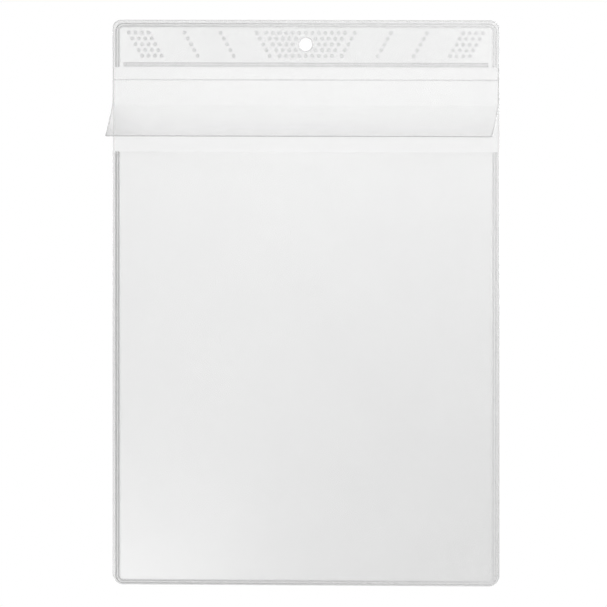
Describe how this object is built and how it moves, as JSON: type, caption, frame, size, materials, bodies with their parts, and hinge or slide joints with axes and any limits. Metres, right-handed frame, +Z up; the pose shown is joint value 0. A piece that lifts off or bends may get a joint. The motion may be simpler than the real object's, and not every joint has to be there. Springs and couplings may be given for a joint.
{
  "type": "sheet protector",
  "caption": "Clear film document pocket that hangs from a punched hole, with knurled welded seams, an open mouth and a curled cover flap on a crease.",
  "frame": {"origin": "centre of the hanging hole, halfway between the back film and the header film", "axes": "+Z up the sheet towards its top edge, -Y out of the front, where the flap and the pocket mouth are, X across the sheet"},
  "size_m": [0.236, 0.0257, 0.34],
  "materials": {
    "clear_film": "clear, smooth, slightly grey",
    "cover_film": "clear, smooth, slightly grey",
    "front_film": "clear, smooth, slightly grey",
    "weld": "pressed with a diamond knurl, frosted"
  },
  "bodies": {
    "sheet": {"back_film": "clear_film", "header_film": "cover_film", "pocket_film": "front_film", "pocket_seam": "weld", "header_seam": "weld", "header_lower_seam": "weld"},
    "flap": {"flap_film": "cover_film"}
  },
  "joints": [
    {"name": "flap_hinge", "type": "hinge", "parent": "sheet", "child": "flap", "pos_m": [0, -0.00045, -0.0214], "axis": [-1, 0, 0], "range_deg": [0, 130]}
  ]
}
